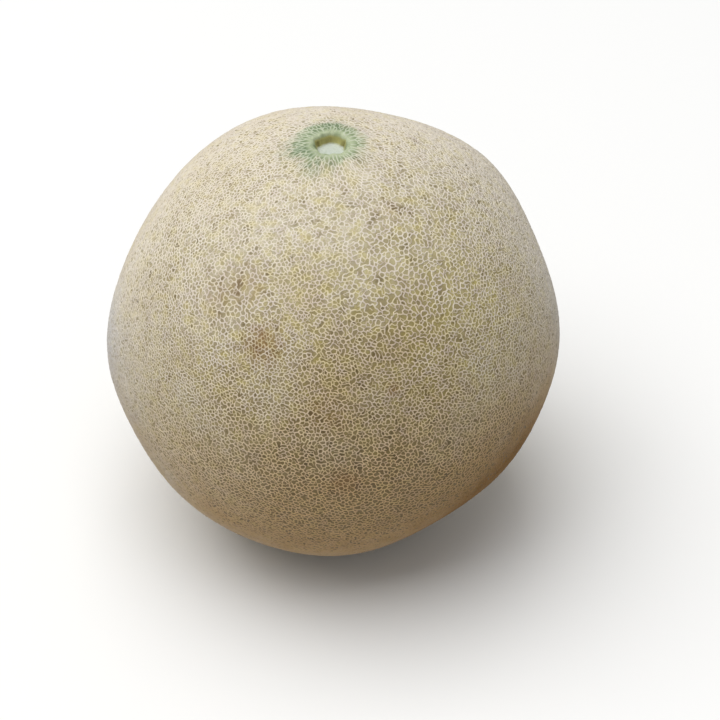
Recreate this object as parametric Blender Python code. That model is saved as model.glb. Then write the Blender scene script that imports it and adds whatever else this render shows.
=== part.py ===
"""A cantaloupe melon, picked and whole: one solid fruit.

It stands on a small flat spot under its blossom end, with the stem end up. +Z is up, the front is -Y, and
the origin is on the flat spot, under the middle of the fruit. Everything is in metres.

The fruit is a round body with the gentle swells and flats that it grew with. A raised corky net covers it:
every cell of the net is a patch of skin a little lower than the ridges round it. The net is drawn larger
than life, with cells about 10 mm across. Where the vine came away there is a round sunken scar at the top,
in a raised collar.
"""

import math
import random

import bmesh
import bpy
from mathutils import Vector, noise

# The body
BODY_WIDTH = 0.1486
BODY_HEIGHT = 0.1470
FLAT_RADIUS = 0.0130
WORN_RADIUS = 0.0260

# Swells (raised) and flats (sunken) of the grown shape:
# compass angle from +X, latitude, height at the middle, and how far it spreads
SWELLS = (
    (34.0, 36.0, 0.0025, 20.0),
    (17.0, 19.0, -0.0014, 14.0),
    (74.0, 51.0, -0.0006, 18.0),
    (116.0, 50.0, 0.0013, 22.0),
    (162.0, 22.0, -0.0020, 25.0),
    (183.0, -6.0, 0.0017, 18.0),
    (196.0, -18.0, -0.0007, 14.0),
    (221.0, -40.0, 0.0009, 22.0),
    (270.0, -52.0, 0.0014, 18.0),
    (312.0, -40.0, -0.0020, 20.0),
    (345.0, -18.0, -0.0007, 14.0),
    (357.0, -4.0, 0.0010, 16.0),
    (70.0, -10.0, -0.0012, 26.0),
    (115.0, -20.0, 0.0014, 24.0),
)

# The raised net: SHAKE is how far a cell may be moved, and SMALLEST_FLOOR is the least that its floor keeps,
# each as a share of the cell
NET_CELLS = 700
NET_RAISE = 0.0012
RAISE_CHANGE = 0.3
RAISE_CHANGES_PER_RADIUS = 3.0
RIDGE_HALF_WIDTH = 0.0015
SMALLEST_FLOOR = 0.35
SHAKE = 0.40

# The scar where the vine came away, as rings from the collar's edge inwards: radius and height over the skin
COLLAR_SIDES = 24
COLLAR_RADIUS = 0.0115
COLLAR_CELLS_RADIUS = 0.0172
SCAR_RINGS = (
    (0.0092, 0.0013),
    (0.0075, 0.0010),
    (0.0062, 0.0001),
    (0.0054, -0.0027),
    (0.0032, -0.0031),
)

RIND_COLOUR = (0.48, 0.42, 0.27)
SCAR_COLOUR = (0.42, 0.52, 0.33)
RIND_ROUGHNESS = 0.65

SEED = 11
GOLDEN_ANGLE = math.pi * (3.0 - math.sqrt(5.0))
WELD = 1e-6


def clear_scene():
    for leftover in list(bpy.data.objects):
        bpy.data.objects.remove(leftover)


def material(name, colour):
    """A plain material with this base colour."""
    made = bpy.data.materials.new(name)
    made.use_nodes = True
    shader = made.node_tree.nodes["Principled BSDF"]
    shader.inputs["Base Color"].default_value = (*colour, 1.0)
    shader.inputs["Roughness"].default_value = RIND_ROUGHNESS
    shader.inputs["Metallic"].default_value = 0.0
    return made


def direction(compass, latitude):
    """The unit vector at a compass angle and a latitude, both in radians."""
    level = math.cos(latitude)
    return Vector((level * math.cos(compass), level * math.sin(compass), math.sin(latitude)))


def body_radius(way):
    """How far the skin is from the middle of the fruit in this direction."""
    across = math.hypot(way.x, way.y) / (BODY_WIDTH / 2)
    upright = way.z / (BODY_HEIGHT / 2)
    radius = 1.0 / math.hypot(across, upright)
    for compass, latitude, height, spread in SWELLS:
        peak = direction(math.radians(compass), math.radians(latitude))
        radius += height * math.exp(-((way.angle(peak) / math.radians(spread)) ** 2))
    return radius


def seed_points():
    """The middles of the net's cells, on a unit sphere: a shaken spiral, and a ring about the stem end."""
    draw = random.Random(SEED)
    ring_angle = COLLAR_CELLS_RADIUS / (BODY_HEIGHT / 2)
    apart = math.sqrt(4.0 * math.pi / NET_CELLS)
    points = [Vector((0.0, 0.0, 1.0))]
    for side in range(COLLAR_SIDES):
        compass = 2.0 * math.pi * side / COLLAR_SIDES
        points.append(direction(compass, math.pi / 2 - ring_angle))
    for number in range(NET_CELLS):
        latitude = math.asin(1.0 - (2.0 * number + 1.0) / NET_CELLS)
        way = direction(number * GOLDEN_ANGLE, latitude)
        shift = Vector([draw.uniform(-1.0, 1.0) for _ in range(3)])
        way = (way + shift * SHAKE * apart).normalized()
        if way.angle(points[0]) > ring_angle + apart / 2:
            points.append(way)
    return points


def fan_round(seed):
    """The triangles round a seed, in order, as their loops at the seed."""
    first = seed.link_loops[0]
    fan = [first]
    while (beside := fan[-1].link_loop_prev.link_loop_radial_next) != first:
        fan.append(beside)
    return fan


def cells_round(points):
    """A sphere of many-sided faces, one round each point: the net's ridges are its edges."""
    hull = bmesh.new()
    for point in points:
        hull.verts.new(point)
    bmesh.ops.convex_hull(hull, input=list(hull.verts))
    bmesh.ops.recalc_face_normals(hull, faces=list(hull.faces))
    sphere = bmesh.new()
    corners = {face: sphere.verts.new(face.calc_center_median().normalized()) for face in hull.faces}
    for seed in hull.verts:
        sphere.faces.new([corners[loop.face] for loop in fan_round(seed)])
    hull.free()
    bmesh.ops.recalc_face_normals(sphere, faces=list(sphere.faces))
    return sphere


def left_of_wear(way):
    """How much of the net is left in this direction: none on the flat spot, all of it past WORN_RADIUS."""
    from_below = way.angle(Vector((0.0, 0.0, -1.0))) * BODY_HEIGHT / 2
    return min(1.0, max(0.0, (from_below - FLAT_RADIUS) / (WORN_RADIUS - FLAT_RADIUS)))


def raise_ridges(sphere, relief):
    """Gives each ridge its height, which changes slowly over the fruit and wears away at the flat spot."""
    for corner in sphere.verts:
        change = RAISE_CHANGE * noise.noise(corner.co * RAISE_CHANGES_PER_RADIUS)
        corner[relief] = NET_RAISE * (1.0 + change) * left_of_wear(corner.co)


def lower_floors(sphere, cells, relief):
    """Draws a smaller outline in each cell, level with the skin, so that its edge slopes up to the ridges."""
    bmesh.ops.inset_individual(sphere, faces=cells, thickness=0.0)
    half_width = RIDGE_HALF_WIDTH / (BODY_WIDTH / 2)
    for cell in cells:
        middle = sum((corner.co for corner in cell.verts), Vector()) / len(cell.verts)
        reach = sum((corner.co - middle).length for corner in cell.verts) / len(cell.verts)
        keep = max(SMALLEST_FLOOR, 1.0 - half_width / reach)
        for corner in cell.verts:
            corner.co = middle.lerp(corner.co, keep).normalized()
            corner[relief] = 0.0


def place_ring(cap, radius, height, relief):
    """Moves the corners of the cap onto one round of the scar."""
    for corner in cap.verts:
        compass = math.atan2(corner.co.y, corner.co.x)
        corner.co = direction(compass, math.pi / 2 - radius / (BODY_HEIGHT / 2))
        corner[relief] = height


def sink_scar(sphere, cap, relief):
    """Shapes the stem end's own cell: a collar, a steep wall and a sunken floor."""
    place_ring(cap, COLLAR_RADIUS, NET_RAISE, relief)
    for radius, height in SCAR_RINGS:
        walls = bmesh.ops.inset_individual(sphere, faces=[cap], thickness=0.0)
        for wall in walls["faces"]:
            wall.material_index = 1
        place_ring(cap, radius, height, relief)
    cap.material_index = 1


def swell_to_size(sphere, relief):
    """Moves every corner out from the middle to the skin's radius and its own relief."""
    for corner in sphere.verts:
        way = corner.co.normalized()
        corner.co = way * (body_radius(way) + corner[relief])


def cut_flat_spot(fruit):
    """Sets the fruit down, cuts its small flat spot at the ground, and closes it."""
    under = body_radius(Vector((0.0, 0.0, -1.0)))
    sink = under - math.sqrt(under**2 - FLAT_RADIUS**2)
    bmesh.ops.translate(fruit, verts=list(fruit.verts), vec=(0.0, 0.0, under - sink))
    everything = list(fruit.verts) + list(fruit.edges) + list(fruit.faces)
    ground = {"plane_co": (0.0, 0.0, 0.0), "plane_no": (0.0, 0.0, 1.0)}
    bmesh.ops.bisect_plane(fruit, geom=everything, dist=WELD, clear_inner=True, **ground)
    rim = [edge for edge in fruit.edges if edge.is_boundary]
    bmesh.ops.contextual_create(fruit, geom=rim)
    bmesh.ops.recalc_face_normals(fruit, faces=list(fruit.faces))


def centre_over_origin(fruit):
    """Puts the middle of the fruit's outline, seen from above, over the origin."""
    across = [corner.co.x for corner in fruit.verts]
    deep = [corner.co.y for corner in fruit.verts]
    shift = Vector((-(min(across) + max(across)) / 2, -(min(deep) + max(deep)) / 2, 0.0))
    bmesh.ops.translate(fruit, verts=list(fruit.verts), vec=shift)


def build_melon():
    melon = cells_round(seed_points())
    relief = melon.verts.layers.float.new("relief")
    cells = list(melon.faces)
    cap = max(cells, key=lambda cell: cell.calc_center_median().z)
    cells.remove(cap)
    raise_ridges(melon, relief)
    lower_floors(melon, cells, relief)
    sink_scar(melon, cap, relief)
    swell_to_size(melon, relief)
    cut_flat_spot(melon)
    centre_over_origin(melon)
    mesh = bpy.data.meshes.new("melon")
    melon.to_mesh(mesh)
    melon.free()
    mesh.materials.append(material("netted_rind", RIND_COLOUR))
    mesh.materials.append(material("stem_scar", SCAR_COLOUR))
    mesh.shade_smooth()
    return bpy.data.objects.new("melon", mesh)


def main():
    clear_scene()
    parts = bpy.data.collections.new("cantaloupe_melon")
    bpy.context.scene.collection.children.link(parts)
    parts.objects.link(build_melon())


if __name__ == "__main__":
    main()
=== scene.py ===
"""A cantaloupe melon on a pale studio floor.

The file is laid out as an add-on for Blender 4.5. One operator makes the rind's skin with the stem scar sunk
in it, one makes the raised corky net that covers the skin, and one makes the floor, the light and the camera.
Everything is in metres, +Z is up, and the melon stands on the ground plane with its front towards -Y.
"""

import math
from functools import cache
from typing import NamedTuple

import bpy
import numpy as np
from mathutils import Matrix, Vector, geometry, kdtree, noise


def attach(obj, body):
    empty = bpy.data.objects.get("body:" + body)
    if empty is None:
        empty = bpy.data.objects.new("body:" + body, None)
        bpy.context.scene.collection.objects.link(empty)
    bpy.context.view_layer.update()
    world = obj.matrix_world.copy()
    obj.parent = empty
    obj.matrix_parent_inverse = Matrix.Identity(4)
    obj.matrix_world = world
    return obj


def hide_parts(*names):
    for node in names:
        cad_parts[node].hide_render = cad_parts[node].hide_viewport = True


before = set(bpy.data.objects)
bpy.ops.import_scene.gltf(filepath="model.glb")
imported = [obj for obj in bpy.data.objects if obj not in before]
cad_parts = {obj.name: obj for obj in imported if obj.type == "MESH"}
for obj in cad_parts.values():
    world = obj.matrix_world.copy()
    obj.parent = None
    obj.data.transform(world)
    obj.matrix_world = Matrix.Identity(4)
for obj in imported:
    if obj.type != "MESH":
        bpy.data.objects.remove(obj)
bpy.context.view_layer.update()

bl_info = {
    "name": "Cantaloupe Melon",
    "version": (1, 0, 0),
    "blender": (4, 5, 0),
    "location": "3D View > Sidebar > Melon",
    "description": "Makes a netted cantaloupe melon with a sunken stem scar, and a pale studio round it",
    "category": "Add Mesh",
}

MM = 0.001
BODY = "root"
SOLID = "melon"


class Patch(NamedTuple):
    """A part of the fruit: the compass angle from +X and the latitude of its middle, how many degrees it
    spreads, and how strong it is there."""

    compass: float
    latitude: float
    spread: float
    strength: float


class Cloud(NamedTuple):
    """Smooth noise over the fruit: how wide its clouds are, and a layer that sets it apart."""

    size: float
    layer: float


# The body: these sizes and swells are the solid's own
BODY_WIDTH = 0.1486
BODY_HEIGHT = 0.1470
FLAT_RADIUS = 0.0130
WORN_RADIUS = 0.0260
SWELLS = (
    Patch(34.0, 36.0, 20.0, 0.0025),
    Patch(17.0, 19.0, 14.0, -0.0014),
    Patch(74.0, 51.0, 18.0, -0.0006),
    Patch(116.0, 50.0, 22.0, 0.0013),
    Patch(162.0, 22.0, 25.0, -0.0020),
    Patch(183.0, -6.0, 18.0, 0.0017),
    Patch(196.0, -18.0, 14.0, -0.0007),
    Patch(221.0, -40.0, 22.0, 0.0009),
    Patch(270.0, -52.0, 18.0, 0.0014),
    Patch(312.0, -40.0, 20.0, -0.0020),
    Patch(345.0, -18.0, 14.0, -0.0007),
    Patch(357.0, -4.0, 16.0, 0.0010),
    Patch(70.0, -10.0, 26.0, -0.0012),
    Patch(115.0, -20.0, 24.0, 0.0014),
)

# The skin between the ridges: the height of its corners, how much higher the middle of a cell is, and how
# much more where cork has filled the cell
SKIN_LIFT = 0.20 * MM
PILLOW = 0.10 * MM
CORK_FILL = 0.14 * MM
# Each cell draws a number, which clouds change and open places lower. It fills from one value to the other
FILL_CLOUD = Cloud(6.0 * MM, 6.0)
FILL_CHANGE = 0.3
FILL_LOSS = 0.8
FILL_FROM = 0.70
FILL_FULL = 1.05

# The net: where its cells are more open (a positive share) or closer together than elsewhere
OPENINGS = (
    Patch(297.0, 50.0, 25.0, 0.26),
    Patch(342.0, 60.0, 12.0, 0.15),
    Patch(238.0, 43.0, 12.0, 0.24),
    Patch(75.0, 25.0, 26.0, 0.30),
    Patch(130.0, -25.0, 24.0, 0.20),
    Patch(215.0, 20.0, 24.0, -0.20),
    Patch(190.0, 62.0, 22.0, -0.15),
    Patch(280.0, -8.0, 30.0, 0.12),
    Patch(20.0, -10.0, 30.0, -0.10),
)
# How far the net's corners are moved out of their even places, in gaps between cells
CORNER_SHAKE = 0.18
# The ridges: how deep their feet stand in the skin, how their height changes from place to place and from
# one corner to the next, and how much their widths differ
NET_ROOT = 0.12 * MM
RIDGE_CHANGE = 0.25
RIDGE_CLOUD = Cloud(5.0 * MM, 1.0)
RIDGE_UNEVENNESS = 0.22
WIDTH_CHANGE = 0.25
# The main ridges run round groups of cells. The lesser ones inside a group are lower and narrower, and all
# are narrower where the fruit is earthy, the tan places that are also painted shade
GROUPS = 18000
GROUP_SHAKE = 0.55
LESSER_HEIGHT = 0.72
LESSER_WIDTH = 0.82
MAIN_WIDTH = 1.25
FINE_WIDTH = 0.66
# The shares of the main and of the lesser ridges that are missing, how many more of the lesser where the
# net is open, and the share of their corners where ridges sink into the skin
LOST_MAIN = 0.03
LOST_LESSER = 0.13
LOST_WHERE_OPEN = 0.55
LOST_CORNERS = 0.02
# A ridge's foot reaches at most this share of the way to a cell's middle, and in a sharp corner the turn
# counts as at least SHARPEST_TURN, so that the foot stays near it
FOOT_REACH = 0.58
SHARPEST_TURN = 0.25

# The stem end. The net is laid out with a wider hole than the scar's rim, and is then pulled in to the rim,
# which draws the cells round it out into long ones
RIM_RADIUS = 6.75 * MM
RIM_RAGGED = 1.3 * MM
RIM_CLOUD = Cloud(2.2 * MM, 4.0)
HOLE_RADIUS = 11.6 * MM
PULL_FADE = 4.0 * MM
# The ring of cells round the hole. How near and how far from it they are, and how far the other cells keep
# off, is in gaps between cells
RIM_CELLS = 58
RING_SHAKE = 0.38
RING_LEAST = 0.3
RING_MOST = 0.8
RING_CLEAR = 1.3
# Many of the ridges that run across the collar's long cells are missing, and most of those at the rim. A
# ridge runs across if it comes nearer to the scar by less than ACROSS of its length
LOST_ACROSS = 0.55
LOST_AT_RIM = 0.85
ACROSS = 0.6
LIP_WIDTH = 1.3 * MM
COLLAR_RADIUS = 11.6 * MM
COLLAR_RISE = 0.6 * MM
COLLAR_FALL = 3.5 * MM
# The dish from its rim to its middle, as a radius and a height over the body
DISH = (
    (6.40 * MM, 0.70 * MM),
    (6.05 * MM, 0.66 * MM),
    (5.72 * MM, 0.52 * MM),
    (5.46 * MM, 0.25 * MM),
    (5.28 * MM, -0.15 * MM),
    (5.14 * MM, -0.65 * MM),
    (5.00 * MM, -1.20 * MM),
    (4.86 * MM, -1.70 * MM),
    (4.66 * MM, -2.15 * MM),
    (4.36 * MM, -2.45 * MM),
    (3.90 * MM, -2.58 * MM),
    (3.20 * MM, -2.62 * MM),
    (2.40 * MM, -2.62 * MM),
    (1.60 * MM, -2.60 * MM),
    (0.80 * MM, -2.60 * MM),
)
# The dish lies a little towards the far side, and fully so from FAR_SHIFT_REACH in from its rim. On that
# side it also rises: not below one height, and fully above the other
FAR_SIDE = 95.0
FAR_SHIFT = 0.5 * MM
FAR_SHIFT_REACH = 1.4 * MM
FAR_RISE = 0.6 * MM
FAR_RISE_FROM = -1.2 * MM
FAR_RISE_FULL = 0.5 * MM
DISH_ROUGH = 0.28 * MM
DISH_CLOUD = Cloud(1.3 * MM, 2.0)

# Each layer's pieces: a name, the compass angles between which it lies, and whether it is in the upper half
HALVES = (("upper", (0.0, 360.0), True), ("lower", (0.0, 360.0), False))
QUARTERS = (
    ("upper_back", (0.0, 180.0), True),
    ("upper_front", (180.0, 360.0), True),
    ("lower_back", (0.0, 180.0), False),
    ("lower_front", (180.0, 360.0), False),
)

# How much of its square the map of a piece fills
MAP_SHARE = 0.97

SEED = 11
SKIN_SEED, NET_SEED, FILL_SEED, CORNER_SEED, GROUP_SEED = range(SEED + 1, SEED + 6)
GOLDEN_ANGLE = math.pi * (3.0 - math.sqrt(5.0))
STEM_END = np.array([0.0, 0.0, 1.0])
BLOSSOM_END = -STEM_END
MIDDLE_RADIUS = BODY_HEIGHT / 2
# How many directions the body's size is measured in
BODY_SAMPLES = 20000
# In the flat layout, points this near to each other are one, and triangles fill its hull
SAME_POINT = 1e-9
FILL_HULL = 0
# From each of a triangle's three sides to the next one, and to the one before
TO_NEXT = (1, 1, -2)
TO_LAST = (2, -1, -1)
# Keeps a division by a distance finite
LEAST_DISTANCE = 1e-6

# Colours by place, where strength 1 is fully that colour: ripe is yellow; pale is bleached cream and also
# painted light on the upper, lit side and the flanks; earthy is tan and also painted shade low on the front
# and the right; and the painted shade is dark brown where the fruit is in shade, mostly low down and
# underneath
RIPE = (
    Patch(299.0, 48.0, 28.0, 0.55),
    Patch(285.0, 20.0, 18.0, 0.25),
    Patch(240.0, 45.0, 13.0, 0.20),
    Patch(80.0, 30.0, 30.0, 0.40),
)
# Bleached cream places, which are also painted light: paler on the upper, lit side and on the two flanks
PALE_AND_LIT = (
    Patch(140.0, 66.0, 50.0, 0.70),
    Patch(275.0, 66.0, 24.0, 0.40),
    Patch(225.0, 50.0, 24.0, 0.45),
    Patch(195.0, 15.0, 26.0, 0.35),
    Patch(5.0, 24.0, 22.0, 0.58),
    Patch(10.0, 54.0, 32.0, 0.75),
)
# Earthy tan places, which are also painted shade: darker and warmer, mostly low on the front and the right
# and underneath
EARTHY_AND_SHADED = (
    Patch(280.0, -14.0, 38.0, 1.0),
    Patch(275.0, 34.0, 13.0, 0.25),
    Patch(240.0, -20.0, 26.0, 0.45),
    Patch(328.0, -16.0, 24.0, 0.65),
    Patch(120.0, -60.0, 52.0, 0.60),
)
# Painted shade: dark brown where the fruit is in shade, mostly low on the right, low in front and underneath
PAINTED_SHADE = (
    Patch(329.0, -23.0, 27.0, 0.95),
    Patch(285.0, -38.0, 36.0, 0.58),
    Patch(235.0, -30.0, 24.0, 0.38),
    Patch(203.0, -14.0, 20.0, 0.30),
    Patch(280.0, 30.0, 15.0, 0.13),
    Patch(212.0, 24.0, 16.0, 0.08),
    Patch(90.0, -60.0, 50.0, 0.35),
)
# A grey bloom on the two flanks, and a painted sheen there, where they turn away and catch the bright studio
BLOOM_AND_SHEEN = (
    Patch(188.0, 4.0, 15.0, 0.8),
    Patch(354.0, 8.0, 12.0, 0.5),
)
# Where the blushes are strong, and where the floors of the cells are pitted and dark
BLUSHED = (
    Patch(290.0, 45.0, 34.0, 1.0),
    Patch(240.0, 38.0, 22.0, 0.5),
    Patch(80.0, 25.0, 35.0, 0.8),
)
PITTED = (
    Patch(268.0, 12.0, 15.0, 1.0),
    Patch(285.0, -4.0, 20.0, 0.8),
    Patch(240.0, 44.0, 7.0, 0.8),
    Patch(300.0, 12.0, 14.0, 0.5),
    Patch(304.0, 65.0, 5.0, 0.6),
    Patch(250.0, 33.0, 4.5, 1.2),
)
BRUISES = (
    Patch(250.0, 33.0, 4.4, 0.75),
    Patch(304.0, 65.0, 3.0, 0.22),
    Patch(240.0, 46.0, 5.0, 0.35),
    Patch(231.0, 40.0, 5.0, 0.30),
    Patch(285.0, 23.0, 1.6, 0.60),
    Patch(268.0, 18.0, 5.0, 0.30),
    Patch(272.0, -1.0, 3.6, 0.45),
    Patch(62.0, 8.0, 4.0, 0.60),
    Patch(118.0, 22.0, 6.0, 0.40),
)
STEM_SMEAR = Patch(245.0, 79.0, 2.6, 0.35)
# The torn wall shows on the far side of the dish, and painted shade makes it darkest at its two ends. It
# fades in from one depth to the other, counted down from the body's surface
TORN = (
    Patch(92.0, 86.2, 3.2, 0.9),
    Patch(40.0, 85.9, 1.5, 0.9),
    Patch(140.0, 85.9, 1.5, 0.9),
)
TORN_FROM = -0.80 * MM
TORN_FULL = 0.60 * MM
# The green round the scar: where it is full and where it ends, how far clouds fray its edge, and how far it
# leans away from a compass angle, less so within LEAN_FADE
GREEN_FULL_RADIUS = COLLAR_RADIUS - 2.8 * MM
GREEN_END_RADIUS = COLLAR_RADIUS + 1.2 * MM
GREEN_FRAY = 2.2 * MM
GREEN_CLOUD = Cloud(3.0 * MM, 7.0)
GREEN_FINE_FRAY = 1.2 * MM
GREEN_FINE_CLOUD = Cloud(1.2 * MM, 8.0)
GREEN_LEAN = 1.7 * MM
GREEN_LEAN_COMPASS = 308.0
LEAN_FADE = 1.0 * MM
DEEP_GREEN = (
    Patch(95.0, 82.0, 4.5, 0.9),
    Patch(185.0, 81.5, 4.0, 0.7),
    Patch(203.0, 83.0, 2.5, 0.5),
    Patch(235.0, 81.5, 3.0, 0.6),
    Patch(268.0, 82.0, 3.0, 0.35),
    Patch(325.0, 82.5, 3.0, 0.35),
)


class Tint(NamedTuple):
    """A colour by place: its patches, its share all over the fruit, and how far the broad and the middling
    clouds change it."""

    table: tuple
    everywhere: float
    broad: float
    middling: float


TINTS = {
    "ripe": Tint(RIPE, 0.30, 0.25, 0.30),
    "earthy_and_shaded": Tint(EARTHY_AND_SHADED, 0.0, 0.20, 0.10),
    "pale_and_lit": Tint(PALE_AND_LIT, 0.0, -0.20, 0.0),
    "painted_shade": Tint(PAINTED_SHADE, 0.0, 0.0, 0.08),
    "bloom_and_sheen": Tint(BLOOM_AND_SHEEN, 0.0, 0.0, 0.10),
}
BROAD_CLOUD = Cloud(18.0 * MM, 3.0)
MIDDLING_CLOUD = Cloud(6.0 * MM, 5.0)
# How far clouds break up the bruises, the deep green and the torn wall
BRUISE_BREAKS = 0.9
BRUISE_CLOUD = Cloud(2.5 * MM, 6.0)
DEEP_BREAKS = 1.8
DEEP_CLOUD = Cloud(1.2 * MM, 9.0)
TORN_BREAKS = 0.8
TORN_CLOUD = Cloud(1.4 * MM, 12.0)
# Blushes are small places where the whole rind is yellower or greyer, and this share is everywhere
EVEN_BLUSH = 0.4
BLUSH_CLOUD = Cloud(2.8 * MM, 10.0)

# How far the feet of the ridges are shaded. They are fully shaded where the fruit is earthy
FOOT_SHADE = 0.48
# How much of a cell's tone is its group's, how much riper one cell is than the next, and the tone that
# pitted cells lose, evenly and in clouds
GROUP_TONE = 0.50
CELL_RIPENESS = 1.2
PIT_TONE = 0.30
PIT_EVEN = 0.6
PIT_CLOUD = Cloud(2.4 * MM, 11.0)
# The tone and the streak of a place that has none of its own
MIDDLE_TONE = 0.5

# The patterns in the finishes. Real pores and cracks are finer than a pixel, so here they are coarser
MOTTLE_SIZE = 0.9 * MM
WAX_SIZE = 2.0 * MM
PORE_SIZE = 0.35 * MM
PORE_DEPTH = 0.05 * MM
BLEACHING_SIZE = 12.0 * MM
CRUMB_SIZE = 0.5 * MM
CRACK_SIZE = 0.3 * MM
CRACK_DEPTH = 0.08 * MM
FIBRE_SIZE = 0.8 * MM
LUMP_SIZE = 0.7 * MM
LUMP_DEPTH = 0.15 * MM

# Lesser tints of the finishes
BLEACHED_AND_LIT_SKIN = "#D7D2BF"
BLOOM_AND_SHEEN_GREY = "#CBCFD6"
PITTED_SKIN = "#4A3C20"
EARTHY_SHADED_SKIN = "#664F25"
PAINTED_SHADE_SKIN = "#57431D"
YELLOW_BLUSH = "#BAAC50"
GREY_BLUSH = "#918472"
CORKED_SKIN = "#C6B692"
SHADED_SKIN = "#73663F"
RIDGE_SHADE_SKIN = "#93805A"
EARTHY_SHADED_CORK = "#EFCD9D"
PAINTED_SHADE_CORK = "#775425"
YELLOW_CORK = "#D8CC84"
GREY_CORK = "#CDBFBC"
STEM_CORK = "#BBC4AA"
DEEP_SKIN = "#647656"
DEEP_CORK = "#93A287"
BRUISED_CORK = "#9C7343"
CORK_FOOT = "#A08D68"
CORK_CRUMBS = "#C6B088"
LIP_SKIN = "#B9C3A1"
TORN_END_SHADE = "#6A6230"
CALLUS_SLOPE = "#9EAA82"
CALLUS_STREAKS = "#82926D"
CALLUS_FIBRES = "#8F9274"

# The soft box over the fruit
KEY_COMPASS = 190.0
KEY_LATITUDE = 76.0
KEY_DISTANCE = 3.0
KEY_SIZE = 3.2
# The floor is a little under the fruit, so that the two don't lie in one plane
FLOOR_DROP = 0.1 * MM
FLOOR_SIDES = 96
# The width of the camera's sensor in millimetres
SENSOR_WIDTH = 36.0

# The mix node's sockets for the share, the two colours and the mixed colour
SHARE = 0
FIRST = 6
SECOND = 7
MIXED = 2


def linear(hex_colour):
    """The linear red, green and blue of an sRGB colour written as #RRGGBB."""
    parts = [int(hex_colour[start:start + 2], 16) / 255.0 for start in (1, 3, 5)]
    return tuple(part / 12.92 if part <= 0.04045 else ((part + 0.055) / 1.055) ** 2.4 for part in parts)


def unit(vectors):
    return vectors / np.linalg.norm(vectors, axis=-1, keepdims=True)


def direction(compass, latitude):
    """Unit vectors at compass angles and latitudes in degrees."""
    compass, latitude = np.broadcast_arrays(np.radians(compass), np.radians(latitude))
    level = np.cos(latitude)
    return np.stack([level * np.cos(compass), level * np.sin(compass), np.sin(latitude)], -1)


def apart(ways, place):
    """The angle in radians between each direction and one place."""
    return np.arccos(np.clip(ways @ place, -1.0, 1.0))


def patches(ways, table):
    """The patches' strengths, added up, in each direction."""
    total = np.zeros(len(ways))
    for patch in table:
        off = np.degrees(apart(ways, direction(patch.compass, patch.latitude)))
        total += patch.strength * np.exp(-((off / patch.spread) ** 2))
    return total


def cloud_at(ways, cloud):
    """The cloud's noise in each direction, from -1 to 1."""
    places = ways * (MIDDLE_RADIUS / cloud.size) + cloud.layer
    return np.array([noise.noise(Vector(place)) for place in places])


def body_radius(ways):
    """How far the body's surface is from its middle in each direction."""
    across = np.hypot(ways[:, 0], ways[:, 1]) / (BODY_WIDTH / 2)
    upright = ways[:, 2] / (BODY_HEIGHT / 2)
    return 1.0 / np.hypot(across, upright) + patches(ways, SWELLS)


def spiral(count):
    """Directions spread evenly over the sphere."""
    number = np.arange(count)
    latitude = np.degrees(np.arcsin(1.0 - (2.0 * number + 1.0) / count))
    return direction(np.degrees(number * GOLDEN_ANGLE), latitude)


@cache
def resting_place():
    """Where the body's middle is when the fruit stands on its flat spot over the origin."""
    ways = spiral(BODY_SAMPLES)
    points = ways * body_radius(ways)[:, None]
    under = body_radius(BLOSSOM_END[None, :])[0]
    level = math.sqrt(under**2 - FLAT_RADIUS**2)
    across = -(points.min(0) + points.max(0)) / 2
    return np.array([across[0], across[1], level])


def on_fruit(ways, relief):
    """Points on the fruit at this relief over the body, none of them under the ground."""
    points = ways * (body_radius(ways) + relief)[:, None] + resting_place()
    points[:, 2] = np.maximum(points[:, 2], 0.0)
    return points


def from_stem(ways):
    """Distance over the skin from the middle of the stem scar."""
    return apart(ways, STEM_END) * MIDDLE_RADIUS


def ramp(values, low, high):
    """0 below low, 1 above high, and smooth between."""
    share = np.clip((values - low) / (high - low), 0.0, 1.0)
    return share * share * (3.0 - 2.0 * share)


def collar(ways):
    """1 on the collar round the scar, 0 on the rest of the fruit."""
    return 1.0 - ramp(from_stem(ways), COLLAR_RADIUS, COLLAR_RADIUS + COLLAR_FALL)


def farness(ways):
    """1 straight towards the far side of the scar, 0 at both flanks and on the near side."""
    along = ways @ direction(FAR_SIDE, 0.0)
    return np.maximum(along / np.maximum(np.hypot(ways[:, 0], ways[:, 1]), LEAST_DISTANCE), 0.0)


def collar_height(ways):
    """How far the collar stands up, more on the far side of the scar."""
    return collar(ways) * (COLLAR_RISE + FAR_RISE * farness(ways))


def left_of_wear(ways):
    """How much of the net is left: none on the flat spot, all of it past WORN_RADIUS."""
    return ramp(apart(ways, BLOSSOM_END) * MIDDLE_RADIUS, FLAT_RADIUS, WORN_RADIUS)


def clear_of_scar(ways):
    """Whether each direction is outside the collar round the scar."""
    return from_stem(ways) > COLLAR_RADIUS + COLLAR_FALL


def open_up(ways):
    """Moves directions away from the places where the net is open, and towards those where it is close."""
    for patch in OPENINGS:
        middle = direction(patch.compass, patch.latitude)
        off = apart(ways, middle)
        outward = unit(ways - (ways @ middle)[:, None] * middle)
        push = patch.strength * off * np.exp(-((np.degrees(off) / patch.spread) ** 2))
        ways = unit(ways + outward * push[:, None])
    return ways


def stem_ring(turn, radius):
    """Directions at these compass angles and this distance from the stem end's middle."""
    return direction(turn, 90.0 - np.degrees(radius / MIDDLE_RADIUS))


def ragged(turn, radius):
    """A round of the scar at these compass angles, as ragged as the rim, and less so towards the middle."""
    change = RIM_RAGGED * cloud_at(stem_ring(turn, RIM_RADIUS), RIM_CLOUD)
    return stem_ring(turn, radius + change * (radius / RIM_RADIUS) ** 2)


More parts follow.
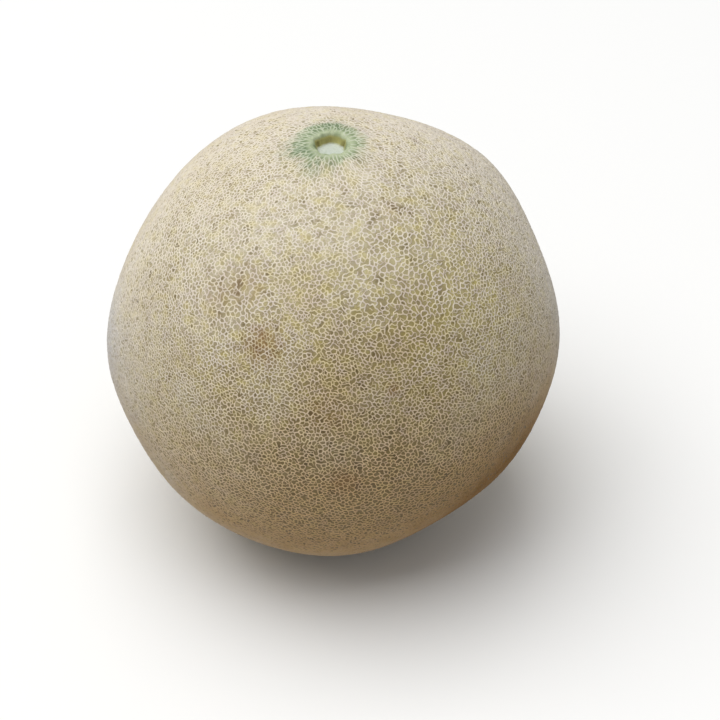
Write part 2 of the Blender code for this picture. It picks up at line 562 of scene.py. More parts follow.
def cell_seeds(cells, shake):
    """The middles of the net's cells: the scar's own, a ring round it, and a shaken spiral over the rest."""
    draw = np.random.default_rng(SEED)
    gap = math.sqrt(4.0 * math.pi / cells)
    ways = spiral(cells)
    ways = open_up(unit(ways + draw.uniform(-1.0, 1.0, ways.shape) * shake * gap))
    hole = HOLE_RADIUS / MIDDLE_RADIUS
    turn = (np.arange(RIM_CELLS) + draw.uniform(-RING_SHAKE, RING_SHAKE, RIM_CELLS)) * 360.0 / RIM_CELLS
    reach = hole + gap * draw.uniform(RING_LEAST, RING_MOST, RIM_CELLS)
    ring = direction(turn, 90.0 - np.degrees(reach))
    around = (apart(ways, STEM_END) > hole + gap * RING_CLEAR) & (apart(ways, BLOSSOM_END) > gap)
    return np.vstack([STEM_END[None, :], ring, ways[around]])


def pull_in(corners):
    """Moves the net's corners round its wide hole in towards the rim."""
    reach = from_stem(corners)
    pull = (HOLE_RADIUS - RIM_RADIUS) * np.exp(-np.maximum(reach - HOLE_RADIUS, 0.0) / PULL_FADE)
    turn = np.degrees(np.arctan2(corners[:, 1], corners[:, 0]))
    return stem_ring(turn, reach - pull)


def grouped(ways):
    """The number of the group that each cell is in."""
    draw = np.random.default_rng(GROUP_SEED)
    gap = math.sqrt(4.0 * math.pi / GROUPS)
    middles = spiral(GROUPS)
    middles = open_up(unit(middles + draw.uniform(-1.0, 1.0, middles.shape) * GROUP_SHAKE * gap))
    tree = kdtree.KDTree(GROUPS)
    for number, middle in enumerate(middles):
        tree.insert(middle, number)
    tree.balance()
    return np.array([tree.find(way)[1] for way in ways])


class Plan(NamedTuple):
    """The net as arrays: where the cells' middles and corners are, and each cell's group. Then, for each
    side of each cell, its cell, the corner where it starts, the sides after and before it, the same ridge's
    side in the next cell, and its ridge."""

    middles: np.ndarray
    corners: np.ndarray
    group: np.ndarray
    cell: np.ndarray
    start: np.ndarray
    after: np.ndarray
    before: np.ndarray
    twin: np.ndarray
    ridge: np.ndarray


def seed_triangles(seeds):
    """Joins the seeds into triangles all over the sphere, each as near to equal-sided as can be.

    The sphere is laid flat from the blossom end, which keeps circles round. The opening that is left at the
    blossom end is closed with triangles to that end itself.
    """
    flat = seeds[:, :2] / (1.0 + seeds[:, 2:])
    points = [Vector(point) for point in flat]
    _, _, laid, origins, _, _ = geometry.delaunay_2d_cdt(points, [], [], FILL_HULL, SAME_POINT)
    triangles = np.array([same[0] for same in origins])[np.array(laid)]
    sides = np.concatenate([triangles[:, (0, 1)], triangles[:, (1, 2)], triangles[:, (2, 0)]])
    crossed = {tuple(side) for side in sides.tolist()}
    open_sides = [side for side in crossed if side[::-1] not in crossed]
    closing = [(end, start, len(seeds)) for start, end in sorted(open_sides)]
    return np.vstack([triangles, closing]), np.vstack([seeds, BLOSSOM_END])


@cache
def net_plan(cells, shake):
    """Lays out the net: a cell's corners are the middles of the triangles that join it to its neighbours.

    A triangle's side from one seed to another also stands for the side of the first one's cell that faces
    the other.
    """
    triangles, seeds = seed_triangles(cell_seeds(cells, shake))
    corners = unit(seeds[triangles].mean(1))
    cell = triangles.ravel()
    start = np.repeat(np.arange(len(triangles)), 3)
    number = np.arange(len(cell))
    follow = number + np.tile(TO_NEXT, len(triangles))
    lead = number + np.tile(TO_LAST, len(triangles))
    count = len(seeds)
    leaving = cell * count + cell[follow]
    arriving = cell[follow] * count + cell
    order = np.argsort(leaving)
    opposite = order[np.searchsorted(leaving[order], arriving)]
    after = opposite[lead]
    before = np.empty_like(after)
    before[after] = number
    twin = follow[after]
    ridge = np.unique(np.minimum(number, twin), return_inverse=True)[1]
    rim = start[cell == 0]
    turn = np.degrees(np.arctan2(corners[rim, 1], corners[rim, 0]))
    shake_corners = np.random.default_rng(CORNER_SEED).uniform(-1.0, 1.0, corners.shape)
    corners = pull_in(unit(corners + CORNER_SHAKE * math.sqrt(4.0 * math.pi / cells) * shake_corners))
    corners[rim] = ragged(turn, RIM_RADIUS)
    middles = unit(np.stack([np.bincount(cell, corners[start, axis]) for axis in range(3)], 1))
    return Plan(middles, corners, grouped(middles), cell, start, after, before, twin, ridge)


def unfold(mesh):
    """Gives the half of the fruit a map that fills a square, unfolded from half of an octahedron."""
    points = np.empty(len(mesh.vertices) * 3, np.float32)
    mesh.vertices.foreach_get("co", points)
    ways = unit(points.reshape(-1, 3) - resting_place())
    corner = np.empty(len(mesh.loops), np.int32)
    mesh.loops.foreach_get("vertex_index", corner)
    flat = (ways / np.abs(ways).sum(1, keepdims=True))[corner]
    square = np.stack([flat[:, 0] + flat[:, 1], flat[:, 1] - flat[:, 0]], 1)
    uv = mesh.uv_layers.new(name="OFBake")
    uv.data.foreach_set("uv", (0.5 + 0.5 * MAP_SHARE * square).ravel())


def make_piece(name, points, faces, values, finishes, finish_numbers):
    """A smooth mesh object with named values on its points. It rides on the body in the solid's place."""
    mesh = bpy.data.meshes.new(name)
    mesh.from_pydata(points, [], faces)
    for label, numbers in values.items():
        layer = mesh.attributes.new(label, "FLOAT", "POINT")
        layer.data.foreach_set("value", np.asarray(numbers, np.float32))
    for finish in finishes:
        mesh.materials.append(finish)
    mesh.polygons.foreach_set("material_index", finish_numbers)
    unfold(mesh)
    mesh.shade_smooth()
    piece = bpy.data.objects.new(name, mesh)
    bpy.context.scene.collection.objects.link(piece)
    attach(piece, BODY)
    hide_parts(SOLID)


def make_pieces(name, points, groups, values, finishes, parts):
    """Makes the pieces of a layer of the rind. A group is an array of faces and the number of their finish. A
    part is its name, the compass angles between which it lies, and whether it is in the upper half."""
    for part, (west, east), upper in parts:
        own = []
        for faces, _ in groups:
            middle = points[faces].mean(1) - resting_place()
            turn = np.degrees(np.arctan2(middle[:, 1], middle[:, 0])) % 360.0
            own.append(faces[((middle[:, 2] > 0.0) == upper) & (turn >= west) & (turn < east)])
        used = np.unique(np.concatenate([faces.ravel() for faces in own]))
        own_faces, finish_numbers = [], []
        for faces, (_, finish) in zip(own, groups):
            own_faces += np.searchsorted(used, faces).tolist()
            finish_numbers += [finish] * len(faces)
        own_values = {label: numbers[used] for label, numbers in values.items()}
        make_piece(f"{name}_{part}", points[used], own_faces, own_values, finishes, finish_numbers)


def stem_green(ways):
    """How green the skin is round the stem scar, with a ragged edge and one smear down the front."""
    fray = GREEN_FRAY * cloud_at(ways, GREEN_CLOUD) + GREEN_FINE_FRAY * cloud_at(ways, GREEN_FINE_CLOUD)
    reach = from_stem(ways)
    side = ways @ direction(GREEN_LEAN_COMPASS, 0.0) * MIDDLE_RADIUS / np.maximum(reach, LEAN_FADE)
    near = 1.0 - ramp(reach + fray + GREEN_LEAN * side, GREEN_FULL_RADIUS, GREEN_END_RADIUS)
    return np.clip(near + patches(ways, (STEM_SMEAR,)), 0.0, 1.0)


def broken(ways, table, breaks, cloud):
    """The table's patches, broken up by a cloud."""
    return patches(ways, table) * (1.0 + breaks * cloud_at(ways, cloud))


def colour_values(ways):
    """The shares of each colour at each place, for the materials to mix."""
    broad = cloud_at(ways, BROAD_CLOUD)
    middling = cloud_at(ways, MIDDLING_CLOUD)
    values = {}
    for name, tint in TINTS.items():
        share = patches(ways, tint.table) + tint.everywhere + tint.broad * broad + tint.middling * middling
        values[name] = np.clip(share, 0.0, 1.0)
    values["bruised"] = np.clip(broken(ways, BRUISES, BRUISE_BREAKS, BRUISE_CLOUD), 0.0, 1.0)
    values["deep"] = np.clip(broken(ways, DEEP_GREEN, DEEP_BREAKS, DEEP_CLOUD), 0.0, 1.0)
    blushed = EVEN_BLUSH + (1.0 - EVEN_BLUSH) * patches(ways, BLUSHED)
    values["blush"] = blushed * cloud_at(ways, BLUSH_CLOUD)
    values["green"] = stem_green(ways)
    values["lip"] = 1.0 - ramp(from_stem(ways), RIM_RADIUS + LIP_WIDTH / 3, RIM_RADIUS + LIP_WIDTH)
    return values


def at_corners(plan, numbers):
    """For each corner of the net, the mean of the numbers of the cells that meet there."""
    return np.bincount(plan.start, numbers[plan.cell]) / np.bincount(plan.start)


def dish_rings(plan):
    """The rounds of the dish, from its rim's corners in to its middle: their directions and heights."""
    rim = plan.start[plan.cell == 0]
    turn = np.degrees(np.arctan2(plan.corners[rim, 1], plan.corners[rim, 0]))
    rim, turn = rim[np.argsort(turn)], np.sort(turn)
    ways, heights = [], []
    for radius, height in DISH:
        shift = FAR_SHIFT / MIDDLE_RADIUS * ramp(RIM_RADIUS - radius, 0.0, FAR_SHIFT_REACH)
        ring = unit(ragged(turn, radius) + shift * direction(FAR_SIDE, 0.0))
        ways.append(ring)
        lip = FAR_RISE * farness(ring) * ramp(height, FAR_RISE_FROM, FAR_RISE_FULL)
        heights.append(height + lip + DISH_ROUGH * cloud_at(ring, DISH_CLOUD))
    ways.append(STEM_END[None, :])
    heights.append(np.array([DISH[-1][1]]))
    return rim, np.vstack(ways), np.concatenate(heights)


def dish_faces(rim, first):
    """Quads from ring to ring of the dish, and triangles at its middle. first is its first point's number."""
    count = len(rim)
    rings = np.vstack([rim, first + np.arange(len(DISH) * count).reshape(-1, count)])
    beside = np.roll(rings, -1, axis=1)
    quads = np.stack([rings[:-1], beside[:-1], beside[1:], rings[1:]], 2).reshape(-1, 4)
    middle = np.full(count, first + len(DISH) * count)
    return quads, np.stack([rings[-1], beside[-1], middle], 1)


def cork_filled(plan):
    """How far cork has filled each cell: more of them are full where the net is close."""
    draw = np.random.default_rng(FILL_SEED)
    share = draw.random(len(plan.middles)) + FILL_CHANGE * cloud_at(plan.middles, FILL_CLOUD)
    return ramp(share - FILL_LOSS * patches(plan.middles, OPENINGS), FILL_FROM, FILL_FULL)


def skin_values(plan, ways, filled, dish_heights):
    """The colour shares of the skin's points: the net's corners, then the cells' middles, then the dish."""
    draw = np.random.default_rng(SKIN_SEED)
    corner_count, cell_count, dish_count = len(plan.corners), len(plan.middles), len(dish_heights)
    flat_count = corner_count + cell_count
    values = colour_values(ways)
    values["ripe"][corner_count:flat_count] += CELL_RIPENESS * (draw.random(cell_count) - 0.5)
    tone = GROUP_TONE * draw.random(GROUPS)[plan.group] + (1.0 - GROUP_TONE) * draw.random(cell_count)
    tone -= PIT_TONE * patches(plan.middles, PITTED) * (PIT_EVEN + cloud_at(plan.middles, PIT_CLOUD))
    values["tone"] = np.concatenate([at_corners(plan, tone), tone, np.full(dish_count, MIDDLE_TONE)])
    values["edge"] = np.concatenate([np.ones(corner_count), np.zeros(cell_count + dish_count)])
    values["corked"] = np.concatenate([at_corners(plan, filled), filled, np.zeros(dish_count)])
    values["depth"] = np.concatenate([np.full(flat_count, -DISH[0][1]), -dish_heights])
    torn = broken(ways, TORN, TORN_BREAKS, TORN_CLOUD)
    values["torn"] = torn * ramp(values["depth"], TORN_FROM, TORN_FULL)
    streaks = np.tile(draw.random(np.count_nonzero(plan.cell == 0)), len(DISH))
    values["streak"] = np.concatenate([np.full(flat_count, MIDDLE_TONE), streaks, [MIDDLE_TONE]])
    return values


def make_skin(net, colours):
    """The smooth skin: a low pillow in every cell of the net, and the dish of the stem scar."""
    plan = net_plan(net.cells, net.shake)
    rim, dish_ways, dish_heights = dish_rings(plan)
    filled = cork_filled(plan)
    ways = np.vstack([plan.corners, plan.middles, dish_ways])
    first_cell = len(plan.corners)
    first_dish = first_cell + len(plan.middles)
    raised = collar_height(ways) + SKIN_LIFT
    raised[first_cell:first_dish] += PILLOW + CORK_FILL * filled
    raised[first_dish:] = dish_heights
    fans = np.flatnonzero(plan.cell != 0)
    pillows = np.stack([plan.start[fans], plan.start[plan.after[fans]], first_cell + plan.cell[fans]], 1)
    scar_quads, scar_triangles = dish_faces(rim, first_dish)
    groups = ((pillows, 0), (scar_quads, 1), (scar_triangles, 1))
    values = skin_values(plan, ways, filled, dish_heights)
    finishes = [waxy_rind(colours), dried_callus(colours)]
    make_pieces("rind_skin", on_fruit(ways, raised), groups, values, finishes, HALVES)


def inner_corners(plan, half_widths):
    """Where the foot of the ridges turns at each corner of each cell, this far in from the sides."""
    here = plan.corners[plan.start]
    along = unit(plan.corners[plan.start[plan.after]] - here)
    inward = np.cross(here, along)
    inward_before = inward[plan.before]
    width = (half_widths[plan.ridge] + half_widths[plan.ridge[plan.before]]) / 2
    turn = (inward * inward_before).sum(1)
    shift = (inward + inward_before) * (width / np.maximum(1.0 + turn, SHARPEST_TURN))[:, None]
    to_middle = plan.middles[plan.cell] - here
    room = np.linalg.norm(to_middle, axis=1) * FOOT_REACH
    length = np.linalg.norm(shift, axis=1)
    return unit(here + shift * np.minimum(1.0, room / length)[:, None])


def crest_heights(plan, main_corner, ridge_height, draw):
    """How high the ridges stand at each corner. Where the net is worn away or fades out they are buried."""
    corner_count = len(plan.corners)
    uneven = draw.uniform(-RIDGE_UNEVENNESS, RIDGE_UNEVENNESS, corner_count)
    change = 1.0 + RIDGE_CHANGE * cloud_at(plan.corners, RIDGE_CLOUD) + uneven
    change *= LESSER_HEIGHT + (1.0 - LESSER_HEIGHT) * main_corner
    left = left_of_wear(plan.corners)
    lesser = clear_of_scar(plan.corners) & (main_corner == 0.0)
    left[lesser & (draw.random(corner_count) < LOST_CORNERS)] = 0.0
    return ridge_height * change * left - NET_ROOT * (1.0 - left)


def ridge_half_widths(plan, main, half_width, draw):
    """The angle between each ridge's crest and its foot."""
    ridge_count = plan.ridge.max() + 1
    main_ridge = np.zeros(ridge_count, bool)
    main_ridge[plan.ridge[main]] = True
    widening = draw.uniform(1.0 - WIDTH_CHANGE, 1.0 + WIDTH_CHANGE, ridge_count)
    half_widths = half_width * widening / MIDDLE_RADIUS
    half_widths *= np.where(main_ridge, MAIN_WIDTH, LESSER_WIDTH)
    fine = np.clip(patches(plan.corners, EARTHY_AND_SHADED), 0.0, 1.0)[plan.start]
    half_widths[plan.ridge] *= 1.0 - (1.0 - FINE_WIDTH) * fine
    return half_widths


def missing_sides(plan, main, buried, draw):
    """Which sides of the cells have no ridge."""
    ridge_count = plan.ridge.max() + 1
    to = plan.start[plan.after]
    open_share = np.maximum(patches(plan.corners, OPENINGS), 0.0)[plan.start]
    lost_share = np.where(main, LOST_MAIN, LOST_LESSER + LOST_WHERE_OPEN * open_share)
    lost = draw.random(ridge_count)[plan.ridge] < lost_share
    reach = from_stem(plan.corners)
    length = np.linalg.norm(plan.corners[to] - plan.corners[plan.start], axis=1) * MIDDLE_RADIUS
    across = np.abs(reach[to] - reach[plan.start]) < ACROSS * length
    at_rim = (plan.cell == 0) | (plan.cell[plan.twin] == 0)
    in_collar = collar(plan.corners)[plan.start] > 0.5
    across_share = np.where(at_rim, LOST_AT_RIM, LOST_ACROSS * (in_collar & across))
    lost_across = draw.random(ridge_count)[plan.ridge] < across_share
    free = clear_of_scar(plan.corners)
    missing = (lost & free[plan.start] & free[to]) | (buried[plan.start] & buried[to]) | lost_across
    return missing | missing[plan.twin]


def make_net(net, colours):
    """The raised corky net: a ridge along each side of the cells, but for some that are missing."""
    plan = net_plan(net.cells, net.shake)
    draw = np.random.default_rng(NET_SEED)
    first_foot = len(plan.corners)
    to = plan.start[plan.after]
    main = plan.group[plan.cell] != plan.group[plan.cell[plan.twin]]
    main_corner = np.zeros(first_foot)
    main_corner[plan.start[main]] = 1.0
    main_corner[to[main]] = 1.0
    height = crest_heights(plan, main_corner, net.ridge_height, draw)
    buried = height < 0.0
    half_widths = ridge_half_widths(plan, main, net.ridge_half_width, draw)
    missing = missing_sides(plan, main, buried, draw)
    foot = inner_corners(plan, half_widths)
    ways = np.vstack([plan.corners, foot])
    relief = np.concatenate([height, np.full(len(foot), -NET_ROOT)])
    relief += SKIN_LIFT + collar_height(ways)
    by_corner = colour_values(plan.corners)
    by_corner["main"] = main_corner
    values = {name: np.append(value, value[plan.start]) for name, value in by_corner.items()}
    # Painted shade at the feet of the ridges, full where the fruit is earthy
    values["foot"] = FOOT_SHADE + (1.0 - FOOT_SHADE) * values["earthy_and_shaded"]
    values["foot"][:first_foot] = 0.0
    sides = np.flatnonzero(~missing)
    slopes = [plan.start[sides], to[sides], first_foot + plan.after[sides], first_foot + sides]
    ends = np.flatnonzero(missing & ~buried[plan.start])
    caps = [plan.start[ends], first_foot + plan.after[plan.twin[ends]], first_foot + ends]
    groups = ((np.stack(slopes, 1), 0), (np.stack(caps, 1), 0))
    make_pieces("corky_net", on_fruit(ways, relief), groups, values, [cork_net(colours)], QUARTERS)


def add(tree, kind, output, inputs=None, **settings):
    """Adds a node with its settings and gives its output. An input is a value, or the output linked to it."""
    node = tree.nodes.new(kind)
    for name, value in settings.items():
        setattr(node, name, value)
    for name, value in (inputs or {}).items():
        if isinstance(value, bpy.types.NodeSocket):
            tree.links.new(value, node.inputs[name])
        else:
            node.inputs[name].default_value = value
    return node.outputs[output]


def opaque(colour):
    return (*colour, 1.0)


def start_material(name):
    """A material with its node tree and its shader."""
    finish = bpy.data.materials.new(name)
    finish.use_nodes = True
    tree = finish.node_tree
    return finish, tree, tree.nodes["Principled BSDF"]


class Coat(NamedTuple):
    """A tint over what is under it: as value goes from low to high, its share goes from 0 to strength."""

    value: bpy.types.NodeSocket
    low: float
    high: float
    strength: float
    tint: tuple


def coated(tree, colour, coats):
    """The colour with all its coats over it, the first one lowest."""
    for coat in coats:
        inputs = {"Value": coat.value, "From Min": coat.low, "From Max": coat.high, "To Max": coat.strength}
        share = add(tree, "ShaderNodeMapRange", "Result", inputs)
        inputs = {SHARE: share, FIRST: colour, SECOND: opaque(coat.tint)}
        colour = add(tree, "ShaderNodeMix", MIXED, inputs, data_type="RGBA")
    return colour


def waxy_rind(colours):
    """Waxed living skin: satin, olive green where it is young and yellow where it has ripened."""
    finish, tree, shader = start_material("waxy_rind")
    names = (*TINTS, "blush", "green", "deep", "lip", "bruised", "tone", "edge", "corked")
    value = {name: add(tree, "ShaderNodeAttribute", "Fac", attribute_name=name) for name in names}
    coordinates = add(tree, "ShaderNodeTexCoord", "Object")
    mottle = {"Vector": coordinates, "Scale": 1.0 / MOTTLE_SIZE, "Detail": 3.0, "Roughness": 0.6}
    mottle = add(tree, "ShaderNodeTexNoise", "Fac", mottle)
    coats = (
        Coat(value["ripe"], 0.15, 0.85, 1.0, colours.ripe),
        # Bleached skin, which is also painted light on the upper, lit side and the flanks
        Coat(value["pale_and_lit"], 0.0, 1.0, 0.75, linear(BLEACHED_AND_LIT_SKIN)),
        Coat(value["corked"], 0.1, 1.0, 0.75, linear(CORKED_SKIN)),
        Coat(value["blush"], 0.0, 0.50, 0.52, linear(YELLOW_BLUSH)),
        Coat(value["blush"], 0.0, -0.50, 0.45, linear(GREY_BLUSH)),
        # Grey bloom and painted sheen on the two flanks
        Coat(value["bloom_and_sheen"], 0.0, 1.0, 0.70, linear(BLOOM_AND_SHEEN_GREY)),
        Coat(value["tone"], 0.85, 0.10, 0.68, linear(SHADED_SKIN)),
        # Painted shade: the skin darkens towards the feet of the ridges
        Coat(value["edge"], 0.35, 1.0, 0.40, linear(RIDGE_SHADE_SKIN)),
        Coat(mottle, 0.3, 0.7, 0.22, linear(CORKED_SKIN)),
        # Earthy tan, which is also painted shade low down
        Coat(value["earthy_and_shaded"], 0.0, 0.9, 0.74, linear(EARTHY_SHADED_SKIN)),
        Coat(value["tone"], 0.22, 0.0, 0.60, linear(PITTED_SKIN)),
        # Painted shade, dark brown where the fruit is in shade
        Coat(value["painted_shade"], 0.0, 1.0, 0.90, linear(PAINTED_SHADE_SKIN)),
        Coat(value["green"], 0.0, 1.0, 1.0, colours.green),
        Coat(value["deep"], 0.0, 1.0, 0.9, linear(DEEP_SKIN)),
        Coat(value["lip"], 0.0, 1.0, 0.7, linear(LIP_SKIN)),
        Coat(value["bruised"], 0.0, 1.0, 0.75, colours.bruise),
    )
    tree.links.new(coated(tree, opaque(colours.olive), coats), shader.inputs["Base Color"])
    wax = {"Vector": coordinates, "Scale": 1.0 / WAX_SIZE, "Detail": 2.0}
    wax = add(tree, "ShaderNodeTexNoise", "Fac", wax)
    shine = {"Value": wax, "From Min": 0.3, "From Max": 0.7, "To Min": 0.45, "To Max": 0.62}
    tree.links.new(add(tree, "ShaderNodeMapRange", "Result", shine), shader.inputs["Roughness"])
    pores = {"Vector": coordinates, "Scale": 1.0 / PORE_SIZE, "Detail": 3.0, "Roughness": 0.6}
    pores = add(tree, "ShaderNodeTexNoise", "Fac", pores)
    bump = add(tree, "ShaderNodeBump", "Normal", {"Height": pores, "Strength": 0.35, "Distance": PORE_DEPTH})
    tree.links.new(bump, shader.inputs["Normal"])
    shader.inputs["IOR"].default_value = 1.45
    shader.inputs["Specular IOR Level"].default_value = 0.4
    return finish


def cork_net(colours):
    """Cork grown out of cracks in the skin: dry, matte and crumbly, bleached to cream in places."""
    finish, tree, shader = start_material("cork_net")
    names = ("pale_and_lit", "bloom_and_sheen", "earthy_and_shaded", "blush", "painted_shade", "green", "deep", "bruised", "foot", "main")
    value = {name: add(tree, "ShaderNodeAttribute", "Fac", attribute_name=name) for name in names}
    coordinates = add(tree, "ShaderNodeTexCoord", "Object")
    bleaching = {"Vector": coordinates, "Scale": 1.0 / BLEACHING_SIZE, "Detail": 3.0}
    bleaching = add(tree, "ShaderNodeTexNoise", "Fac", bleaching)
    crumbs = {"Vector": coordinates, "Scale": 1.0 / CRUMB_SIZE, "Detail": 3.0, "Roughness": 0.6}
    crumbs = add(tree, "ShaderNodeTexNoise", "Fac", crumbs)
    coats = (
        Coat(bleaching, 0.35, 0.65, 0.55, colours.cream),
        # Bleached cork, which is also painted light on the upper, lit side and the flanks
        Coat(value["pale_and_lit"], 0.0, 1.0, 0.85, colours.cream),
        # Earthy tan cork, which is also painted shade low down
        Coat(value["earthy_and_shaded"], 0.15, 1.0, 0.95, linear(EARTHY_SHADED_CORK)),
        Coat(value["blush"], 0.0, 0.50, 0.45, linear(YELLOW_CORK)),
        Coat(value["blush"], 0.0, -0.50, 0.45, linear(GREY_CORK)),
        # Grey bloom and painted sheen on the two flanks
        Coat(value["bloom_and_sheen"], 0.0, 1.0, 0.80, linear(BLOOM_AND_SHEEN_GREY)),
        Coat(value["main"], 1.0, 0.0, 0.35, linear(CORK_FOOT)),
        # Painted shade at the feet of the ridges
        Coat(value["foot"], 0.15, 1.0, 0.80, linear(CORK_FOOT)),
        Coat(crumbs, 0.35, 0.70, 0.30, linear(CORK_CRUMBS)),
        # Painted shade, dark brown where the fruit is in shade
        Coat(value["painted_shade"], 0.0, 1.0, 0.90, linear(PAINTED_SHADE_CORK)),
        Coat(value["green"], 0.0, 1.0, 0.85, linear(STEM_CORK)),
        Coat(value["deep"], 0.0, 1.0, 0.60, linear(DEEP_CORK)),
        Coat(value["bruised"], 0.0, 1.0, 0.50, linear(BRUISED_CORK)),
    )
    tree.links.new(coated(tree, opaque(colours.tan), coats), shader.inputs["Base Color"])
    cracks = {"Vector": coordinates, "Scale": 1.0 / CRACK_SIZE, "Detail": 4.0, "Roughness": 0.6}
    cracks = add(tree, "ShaderNodeTexNoise", "Fac", cracks)
    bump = add(tree, "ShaderNodeBump", "Normal", {"Height": cracks, "Strength": 0.5, "Distance": CRACK_DEPTH})
    tree.links.new(bump, shader.inputs["Normal"])
    shader.inputs["Roughness"].default_value = 0.85
    shader.inputs["IOR"].default_value = 1.45
    shader.inputs["Specular IOR Level"].default_value = 0.2
    shader.inputs["Sheen Weight"].default_value = 0.06
    return finish


def dried_callus(colours):
    """The dish where the stem let go: a steep olive wall of torn skin round a dry, pale green pad."""
    finish, tree, shader = start_material("dried_callus")
    names = ("depth", "streak", "torn")
    value = {name: add(tree, "ShaderNodeAttribute", "Fac", attribute_name=name) for name in names}
    coordinates = add(tree, "ShaderNodeTexCoord", "Object")
    fibres = {"Vector": coordinates, "Scale": 1.0 / FIBRE_SIZE, "Detail": 4.0, "Roughness": 0.6}
    fibres = add(tree, "ShaderNodeTexNoise", "Fac", fibres)
    coats = (
        Coat(value["depth"], -0.30 * MM, 0.60 * MM, 0.8, linear(CALLUS_SLOPE)),
        Coat(fibres, 0.35, 0.70, 0.45, linear(CALLUS_FIBRES)),
        Coat(value["streak"], 0.3, 1.0, 0.65, linear(CALLUS_STREAKS)),
        Coat(value["torn"], 0.1, 0.8, 0.9, colours.wall),
        # Painted shade at the two ends of the torn wall
        Coat(value["torn"], 0.85, 1.40, 0.8, linear(TORN_END_SHADE)),
        Coat(value["depth"], 1.90 * MM, 2.55 * MM, 0.95, colours.pad),
        Coat(fibres, 0.50, 0.75, 0.35, linear(CALLUS_STREAKS)),
    )
    tree.links.new(coated(tree, opaque(linear(LIP_SKIN)), coats), shader.inputs["Base Color"])
    lumps = {"Vector": coordinates, "Scale": 1.0 / LUMP_SIZE, "Detail": 4.0, "Roughness": 0.6}
    lumps = add(tree, "ShaderNodeTexNoise", "Fac", lumps)
    bump = add(tree, "ShaderNodeBump", "Normal", {"Height": lumps, "Strength": 0.6, "Distance": LUMP_DEPTH})
    tree.links.new(bump, shader.inputs["Normal"])
    shader.inputs["Roughness"].default_value = 0.75
    shader.inputs["IOR"].default_value = 1.45
    return finish


def studio_paper(colour):
    """Matte background paper: it gives a soft, even white under and behind the fruit."""
    finish, _, shader = start_material("studio_paper")
    shader.inputs["Base Color"].default_value = opaque(colour)
    shader.inputs["Roughness"].default_value = 0.9
    shader.inputs["Specular IOR Level"].default_value = 0.2
    return finish


def make_floor(stage):
    bpy.ops.mesh.primitive_circle_add(vertices=FLOOR_SIDES, radius=stage.floor_radius, fill_type="NGON")
    floor = bpy.context.object
    floor.name = "floor"
    floor.location.z = -FLOOR_DROP
    floor.data.materials.append(studio_paper(stage.floor_colour))


def make_key_light(power):
    """A square soft box over the fruit, which faces it."""
    lamp = bpy.data.lights.new("key_light", "AREA")
    lamp.size = KEY_SIZE
    lamp.energy = power
    light = bpy.data.objects.new("key_light", lamp)
    way = Vector(direction(KEY_COMPASS, KEY_LATITUDE))
    light.location = way * KEY_DISTANCE + Vector(resting_place())
    light.rotation_euler = way.to_track_quat("Z", "Y").to_euler()
    bpy.context.scene.collection.objects.link(light)


def make_sky(strength):
    """Even white light from the whole studio."""
    world = bpy.data.worlds.new("studio")
    world.use_nodes = True
    background = world.node_tree.nodes["Background"]
    background.inputs["Color"].default_value = opaque(linear("#FFFFFF"))
    background.inputs["Strength"].default_value = strength
    bpy.context.scene.world = world


def make_camera(stage):
    """The camera, at the height and distance that the fruit was seen from."""
    lens = bpy.data.cameras.new("camera")
    lens.lens = stage.lens
    lens.sensor_width = SENSOR_WIDTH
    lens.shift_x, lens.shift_y = stage.shift
    camera = bpy.data.objects.new("camera", lens)
    back = Vector(direction(-90.0, math.degrees(stage.elevation)))
    spot = Matrix.Translation(Vector(resting_place()) + back * stage.distance)
    turn = back.to_track_quat("Z", "Y").to_matrix().to_4x4()
    camera.matrix_world = spot @ turn @ Matrix.Rotation(stage.roll, 4, "Z")
    bpy.context.scene.collection.objects.link(camera)
    bpy.context.scene.camera = camera


class MelonNetSettings(bpy.types.PropertyGroup):
    cells: bpy.props.IntProperty(
        name="Cells", description="How many cells the net starts with", default=50000, min=500, max=52000
    )
    shake: bpy.props.FloatProperty(
        name="Unevenness",
        description="How far each cell is moved from an even layout, as a share of a cell",
        default=0.42,
        min=0.0,
        max=0.6,
        subtype="FACTOR",
    )
    ridge_height: bpy.props.FloatProperty(
        name="Ridge height",
        description="How far the ridges stand out of the skin",
        default=0.30 * MM,
        unit="LENGTH",
        precision=5,
    )
    ridge_half_width: bpy.props.FloatProperty(
        name="Ridge half width",
        description="From a ridge's crest to its foot",
        default=0.30 * MM,
        unit="LENGTH",
        precision=5,
    )


class MelonColourSettings(bpy.types.PropertyGroup):
    cream: bpy.props.FloatVectorProperty(
        name="Cream", description="Bleached cork", subtype="COLOR", default=linear("#E8E2D6")
    )
    tan: bpy.props.FloatVectorProperty(
        name="Tan", description="Unbleached cork", subtype="COLOR", default=linear("#DBCEB4")
    )
    ripe: bpy.props.FloatVectorProperty(
        name="Ripe", description="Yellow skin", subtype="COLOR", default=linear("#B5AA65")
    )
    olive: bpy.props.FloatVectorProperty(
        name="Olive", description="Skin that is still green", subtype="COLOR", default=linear("#9A8D6A")
    )
    bruise: bpy.props.FloatVectorProperty(
        name="Bruise", description="Small bruised spots", subtype="COLOR", default=linear("#7A5026")
    )
    green: bpy.props.FloatVectorProperty(
        name="Green", description="The collar round the stem scar", subtype="COLOR", default=linear("#869470")
    )
    wall: bpy.props.FloatVectorProperty(
        name="Wall", description="The side of the stem scar", subtype="COLOR", default=linear("#AEA765")
    )
    pad: bpy.props.FloatVectorProperty(
        name="Pad", description="The floor of the stem scar", subtype="COLOR", default=linear("#C4CBC2")
    )


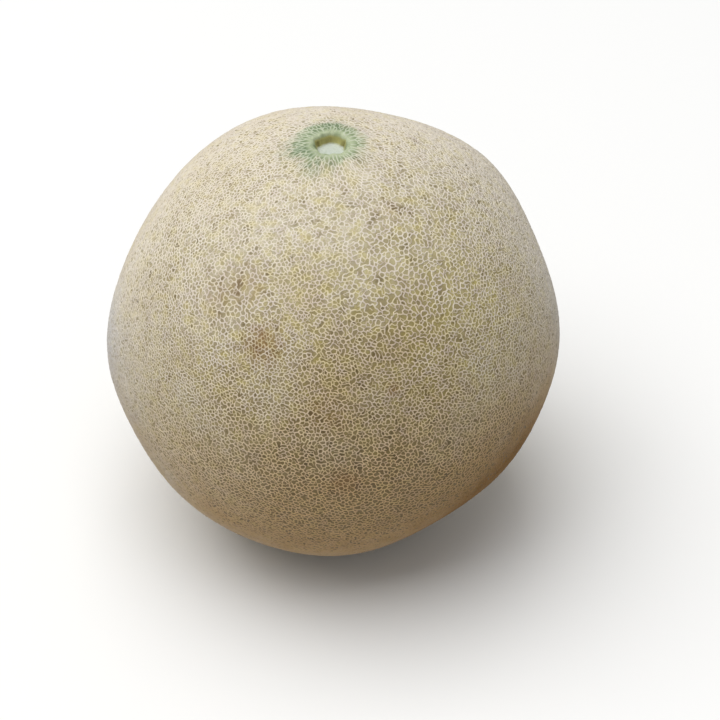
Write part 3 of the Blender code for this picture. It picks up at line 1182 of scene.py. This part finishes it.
class MelonStageSettings(bpy.types.PropertyGroup):
    floor_radius: bpy.props.FloatProperty(
        name="Floor radius", description="From the floor's middle to its edge", default=4.0, unit="LENGTH"
    )
    floor_colour: bpy.props.FloatVectorProperty(
        name="Floor", description="The floor's colour", subtype="COLOR", default=linear("#F4F4F3")
    )
    sky: bpy.props.FloatProperty(name="Sky", description="Strength of the even light", default=0.36, min=0.0)
    key_power: bpy.props.FloatProperty(
        name="Key light", description="Power of the soft box overhead", default=99.0, unit="POWER"
    )
    distance: bpy.props.FloatProperty(
        name="Distance", description="From the camera to the fruit's middle", default=0.70, unit="LENGTH"
    )
    elevation: bpy.props.FloatProperty(
        name="Elevation", description="How far it looks down", default=math.radians(38.23), subtype="ANGLE"
    )
    roll: bpy.props.FloatProperty(
        name="Roll", description="The camera's tilt to the side", default=math.radians(-0.73), subtype="ANGLE"
    )
    lens: bpy.props.FloatProperty(
        name="Lens", description="The camera's focal length in millimetres", default=104.22, min=1.0
    )
    shift: bpy.props.FloatVectorProperty(
        name="Shift", description="The frame's shift in frame widths", size=2, default=(0.0370, -0.0421)
    )


class MELON_OT_make_skin(bpy.types.Operator):
    """Make the melon's smooth skin and the stem scar sunk in it"""

    bl_idname = "melon.make_skin"
    bl_label = "Rind skin"
    bl_options = {"REGISTER", "UNDO"}

    def execute(self, context):
        make_skin(context.scene.melon_net, context.scene.melon_colours)
        return {"FINISHED"}


class MELON_OT_make_net(bpy.types.Operator):
    """Make the raised corky net that covers the skin"""

    bl_idname = "melon.make_net"
    bl_label = "Corky net"
    bl_options = {"REGISTER", "UNDO"}

    def execute(self, context):
        make_net(context.scene.melon_net, context.scene.melon_colours)
        return {"FINISHED"}


class MELON_OT_make_stage(bpy.types.Operator):
    """Make the pale floor, the soft studio light and the camera"""

    bl_idname = "melon.make_stage"
    bl_label = "Studio"
    bl_options = {"REGISTER", "UNDO"}

    def execute(self, context):
        stage = context.scene.melon_stage
        context.scene.view_settings.view_transform = "Standard"
        make_floor(stage)
        make_sky(stage.sky)
        make_key_light(stage.key_power)
        make_camera(stage)
        return {"FINISHED"}


class MELON_PT_sidebar(bpy.types.Panel):
    bl_label = "Cantaloupe Melon"
    bl_idname = "MELON_PT_sidebar"
    bl_space_type = "VIEW_3D"
    bl_region_type = "UI"
    bl_category = "Melon"

    def draw(self, context):
        groups = (context.scene.melon_net, context.scene.melon_colours, context.scene.melon_stage)
        for settings in groups:
            box = self.layout.box()
            for name in type(settings).__annotations__:
                box.prop(settings, name)
        for operator in OPERATORS:
            self.layout.operator(operator.bl_idname)


SETTINGS = {
    "melon_net": MelonNetSettings,
    "melon_colours": MelonColourSettings,
    "melon_stage": MelonStageSettings,
}
OPERATORS = (MELON_OT_make_skin, MELON_OT_make_net, MELON_OT_make_stage)
CLASSES = (*SETTINGS.values(), *OPERATORS, MELON_PT_sidebar)


def register():
    for kind in CLASSES:
        bpy.utils.register_class(kind)
    for name, kind in SETTINGS.items():
        setattr(bpy.types.Scene, name, bpy.props.PointerProperty(type=kind))


def unregister():
    for name in SETTINGS:
        delattr(bpy.types.Scene, name)
    for kind in reversed(CLASSES):
        bpy.utils.unregister_class(kind)


def write_sizes():
    """Brings the view layer up to date."""
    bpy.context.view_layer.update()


def main():
    register()
    bpy.ops.melon.make_skin()
    bpy.ops.melon.make_net()
    bpy.ops.melon.make_stage()
    write_sizes()


if __name__ == "__main__":
    main()
